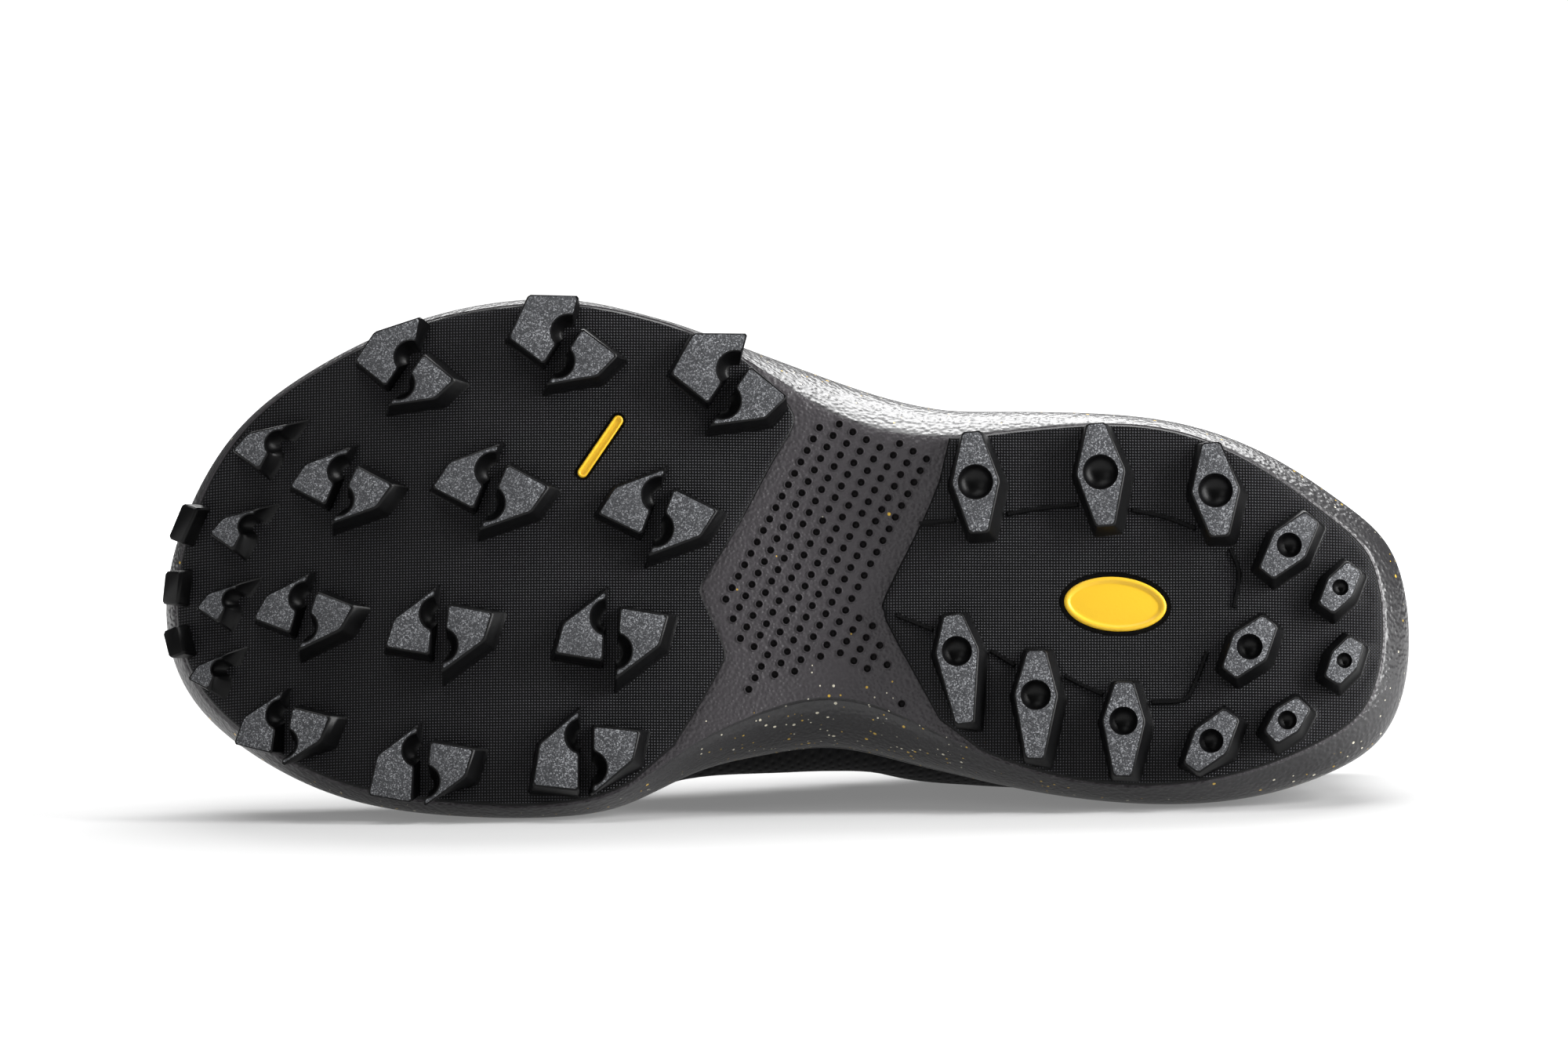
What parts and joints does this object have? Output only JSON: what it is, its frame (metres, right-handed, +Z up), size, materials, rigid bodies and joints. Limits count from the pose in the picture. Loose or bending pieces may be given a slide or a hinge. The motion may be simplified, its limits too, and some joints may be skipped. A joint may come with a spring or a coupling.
{
  "type": "trail running shoe",
  "caption": "Left trail running shoe lying empty on its medial side: hollow low-cut upper with tongue and lace crossings, thick foam midsole and rubber pads with deep lugs.",
  "frame": {"origin": "centre of the bounding box, on the floor that the shoe lies on", "axes": "-X towards the toe, +X towards the heel, -Y out of the sole, +Z up, which is the shoe's lateral side"},
  "size_m": [0.3008, 0.1336, 0.1255],
  "materials": {
    "rubber": "fine grained outsole rubber, near black",
    "foam": "moulded foam, dark grey with a skin",
    "mesh_fabric": "black engineered mesh with smooth overlays",
    "lining": "black textile lining",
    "yellow_rubber": "yellow moulded rubber",
    "lace_cord": "flat woven black lace"
  },
  "bodies": {
    "root": {"outsole_forefoot": "rubber", "outsole_heel": "rubber", "forefoot_badge": "yellow_rubber", "heel_badge": "yellow_rubber", "midsole": "foam", "insole": "lining", "upper": "mesh_fabric", "tongue": "mesh_fabric", "lace_crossings": "lace_cord"}
  },
  "joints": []
}
